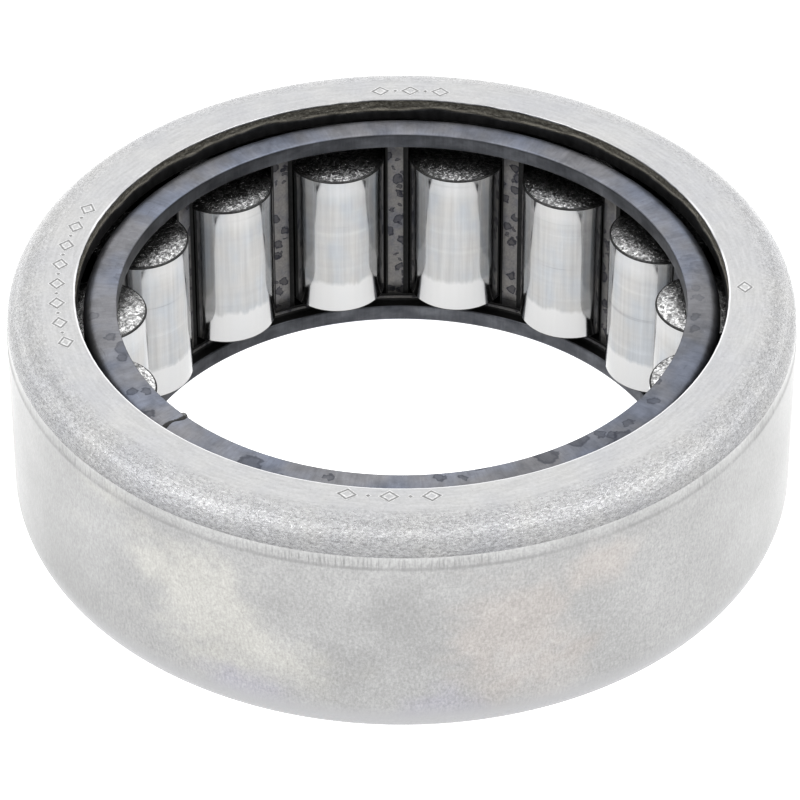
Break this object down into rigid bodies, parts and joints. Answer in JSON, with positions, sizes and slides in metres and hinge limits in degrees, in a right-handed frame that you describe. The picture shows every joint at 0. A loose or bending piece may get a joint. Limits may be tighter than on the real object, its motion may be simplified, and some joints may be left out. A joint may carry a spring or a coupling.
{
  "type": "needle roller bearing",
  "caption": "Drawn-cup caged roller bearing with no inner ring: rollers in a flanged steel cage run inside a lipped outer ring and directly on the shaft.",
  "frame": {"origin": "on the bearing's axis, at the lower end face of the outer ring", "axes": "+Z along the bearing's axis; X and Y are radial, and the first roller stands 7 degrees from +X towards +Y"},
  "size_m": [0.075, 0.075, 0.0247],
  "materials": {
    "ring_steel": "satin, drawn and ground",
    "cage_steel": "dark phosphated, lightly stained",
    "roller_steel": "ground and polished"
  },
  "bodies": {
    "ring": {"outer_ring": "ring_steel"},
    "cage": {"cage": "cage_steel"},
    "roller_01": {"roller_01": "roller_steel"},
    "roller_02": {"roller_02": "roller_steel"},
    "roller_03": {"roller_03": "roller_steel"},
    "roller_04": {"roller_04": "roller_steel"},
    "roller_05": {"roller_05": "roller_steel"},
    "roller_06": {"roller_06": "roller_steel"},
    "roller_07": {"roller_07": "roller_steel"},
    "roller_08": {"roller_08": "roller_steel"},
    "roller_09": {"roller_09": "roller_steel"},
    "roller_10": {"roller_10": "roller_steel"},
    "roller_11": {"roller_11": "roller_steel"},
    "roller_12": {"roller_12": "roller_steel"},
    "roller_13": {"roller_13": "roller_steel"},
    "roller_14": {"roller_14": "roller_steel"},
    "roller_15": {"roller_15": "roller_steel"}
  },
  "joints": [
    {"name": "cage_spin", "type": "hinge", "parent": "ring", "child": "cage", "pos_m": [0, 0, 0.01162], "axis": [0, 0, 1], "continuous": true},
    {"name": "roller_01_spin", "type": "hinge", "parent": "cage", "child": "roller_01", "pos_m": [0.02918, 0.00358, 0.01148], "axis": [0, 0, 1], "continuous": true},
    {"name": "roller_02_spin", "type": "hinge", "parent": "cage", "child": "roller_02", "pos_m": [0.0252, 0.01514, 0.01148], "axis": [0, 0, 1], "continuous": true},
    {"name": "roller_03_spin", "type": "hinge", "parent": "cage", "child": "roller_03", "pos_m": [0.01686, 0.02408, 0.01148], "axis": [0, 0, 1], "continuous": true},
    {"name": "roller_04_spin", "type": "hinge", "parent": "cage", "child": "roller_04", "pos_m": [0.00561, 0.02886, 0.01148], "axis": [0, 0, 1], "continuous": true},
    {"name": "roller_05_spin", "type": "hinge", "parent": "cage", "child": "roller_05", "pos_m": [-0.00661, 0.02865, 0.01148], "axis": [0, 0, 1], "continuous": true},
    {"name": "roller_06_spin", "type": "hinge", "parent": "cage", "child": "roller_06", "pos_m": [-0.01769, 0.02348, 0.01148], "axis": [0, 0, 1], "continuous": true},
    {"name": "roller_07_spin", "type": "hinge", "parent": "cage", "child": "roller_07", "pos_m": [-0.02571, 0.01425, 0.01148], "axis": [0, 0, 1], "continuous": true},
    {"name": "roller_08_spin", "type": "hinge", "parent": "cage", "child": "roller_08", "pos_m": [-0.02929, 0.00256, 0.01148], "axis": [0, 0, 1], "continuous": true},
    {"name": "roller_09_spin", "type": "hinge", "parent": "cage", "child": "roller_09", "pos_m": [-0.0278, -0.00957, 0.01148], "axis": [0, 0, 1], "continuous": true},
    {"name": "roller_10_spin", "type": "hinge", "parent": "cage", "child": "roller_10", "pos_m": [-0.0215, -0.02005, 0.01148], "axis": [0, 0, 1], "continuous": true},
    {"name": "roller_11_spin", "type": "hinge", "parent": "cage", "child": "roller_11", "pos_m": [-0.01149, -0.02706, 0.01148], "axis": [0, 0, 1], "continuous": true},
    {"name": "roller_12_spin", "type": "hinge", "parent": "cage", "child": "roller_12", "pos_m": [0.00051, -0.0294, 0.01148], "axis": [0, 0, 1], "continuous": true},
    {"name": "roller_13_spin", "type": "hinge", "parent": "cage", "child": "roller_13", "pos_m": [0.01243, -0.02664, 0.01148], "axis": [0, 0, 1], "continuous": true},
    {"name": "roller_14_spin", "type": "hinge", "parent": "cage", "child": "roller_14", "pos_m": [0.02219, -0.01929, 0.01148], "axis": [0, 0, 1], "continuous": true},
    {"name": "roller_15_spin", "type": "hinge", "parent": "cage", "child": "roller_15", "pos_m": [0.02812, -0.0086, 0.01148], "axis": [0, 0, 1], "continuous": true}
  ],
  "couplings": [
    {"joint": "roller_01_spin", "follows": "cage_spin", "ratio": -7},
    {"joint": "roller_02_spin", "follows": "cage_spin", "ratio": -7},
    {"joint": "roller_03_spin", "follows": "cage_spin", "ratio": -7},
    {"joint": "roller_04_spin", "follows": "cage_spin", "ratio": -7},
    {"joint": "roller_05_spin", "follows": "cage_spin", "ratio": -7},
    {"joint": "roller_06_spin", "follows": "cage_spin", "ratio": -7},
    {"joint": "roller_07_spin", "follows": "cage_spin", "ratio": -7},
    {"joint": "roller_08_spin", "follows": "cage_spin", "ratio": -7},
    {"joint": "roller_09_spin", "follows": "cage_spin", "ratio": -7},
    {"joint": "roller_10_spin", "follows": "cage_spin", "ratio": -7},
    {"joint": "roller_11_spin", "follows": "cage_spin", "ratio": -7},
    {"joint": "roller_12_spin", "follows": "cage_spin", "ratio": -7},
    {"joint": "roller_13_spin", "follows": "cage_spin", "ratio": -7},
    {"joint": "roller_14_spin", "follows": "cage_spin", "ratio": -7},
    {"joint": "roller_15_spin", "follows": "cage_spin", "ratio": -7}
  ]
}
